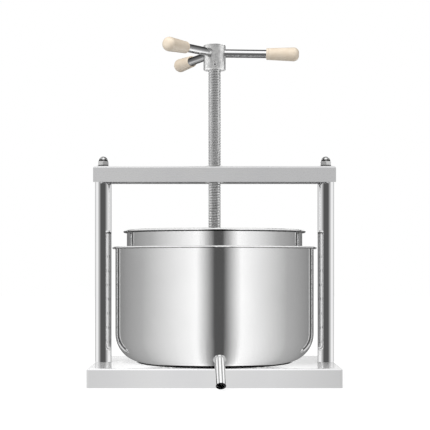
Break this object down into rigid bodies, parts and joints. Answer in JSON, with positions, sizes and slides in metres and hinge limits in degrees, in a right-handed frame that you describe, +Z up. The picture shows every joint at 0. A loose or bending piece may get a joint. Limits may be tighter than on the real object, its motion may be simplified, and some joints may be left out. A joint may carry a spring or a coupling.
{
  "type": "fruit wine press",
  "caption": "Table-top screw press: a perforated basket stands in a drained bucket inside a steel frame, under a swivelling plate on a screw with a handle of radial arms.",
  "frame": {"origin": "on the table, on the axis of the screw, which is the centre of the base's resting face", "axes": "+Z up along the screw; +X to the right along the base and the beam, seen from the spout's side; the spout points to -Y"},
  "size_m": [0.32, 0.2913, 0.447],
  "materials": {
    "satin_sheet": "fine satin stainless sheet",
    "mirror_steel": "mirror-polished stainless steel",
    "chrome_tube": "bright chrome plate",
    "bright_fastener": "bright nickel plate",
    "zinc_steel": "bright zinc plate",
    "machined_steel": "turned steel",
    "screw_steel": "rolled thread, bright zinc plate",
    "cast_hub": "plated casting with a fine grain",
    "dark_screw": "dark oxide",
    "pale_grip": "smooth pale lacquered wood"
  },
  "bodies": {
    "frame": {"base_plate": "satin_sheet", "left_post": "chrome_tube", "right_post": "chrome_tube", "left_tie_rod": "zinc_steel", "right_tie_rod": "zinc_steel", "left_base_washer": "zinc_steel", "right_base_washer": "zinc_steel", "left_base_nut": "zinc_steel", "right_base_nut": "zinc_steel", "top_beam": "satin_sheet", "left_top_washer": "bright_fastener", "right_top_washer": "bright_fastener", "left_cap_nut": "bright_fastener", "right_cap_nut": "bright_fastener", "screw_nut": "machined_steel"},
    "press_plate": {"pressure_plate": "mirror_steel", "plate_ribs": "mirror_steel", "plate_socket": "machined_steel", "socket_keeper": "machined_steel", "keeper_screws": "bright_fastener"},
    "screw": {"press_screw": "screw_steel", "handle_hub": "cast_hub", "hub_set_screw": "dark_screw", "handle_arm_1": "chrome_tube", "handle_arm_2": "chrome_tube", "handle_arm_3": "chrome_tube", "grip_1": "pale_grip", "grip_2": "pale_grip", "grip_3": "pale_grip"},
    "bucket": {"outer_bucket": "mirror_steel", "spout_collar": "mirror_steel", "drain_spout": "mirror_steel"},
    "basket": {"inner_basket": "mirror_steel", "basket_feet": "machined_steel"}
  },
  "joints": [
    {"name": "plate_travel", "type": "slide", "parent": "frame", "child": "press_plate", "axis": [0, 0, 1], "range_m": [-0.1161, 0.0701]},
    {"name": "screw_turn", "type": "hinge", "parent": "press_plate", "child": "screw", "pos_m": [0, 0, 0.3], "axis": [0, 0, 1], "range_deg": [-11930, 7200]},
    {"name": "bucket_turn", "type": "hinge", "parent": "frame", "child": "bucket", "pos_m": [0, 0, 0.1], "axis": [0, 0, 1], "range_deg": [-16, 10]},
    {"name": "basket_turn", "type": "hinge", "parent": "bucket", "child": "basket", "pos_m": [0, 0, 0.12], "axis": [0, 0, 1], "continuous": true}
  ],
  "couplings": [
    {"joint": "plate_travel", "follows": "screw_turn", "m_per_rad": 0.00055704}
  ]
}
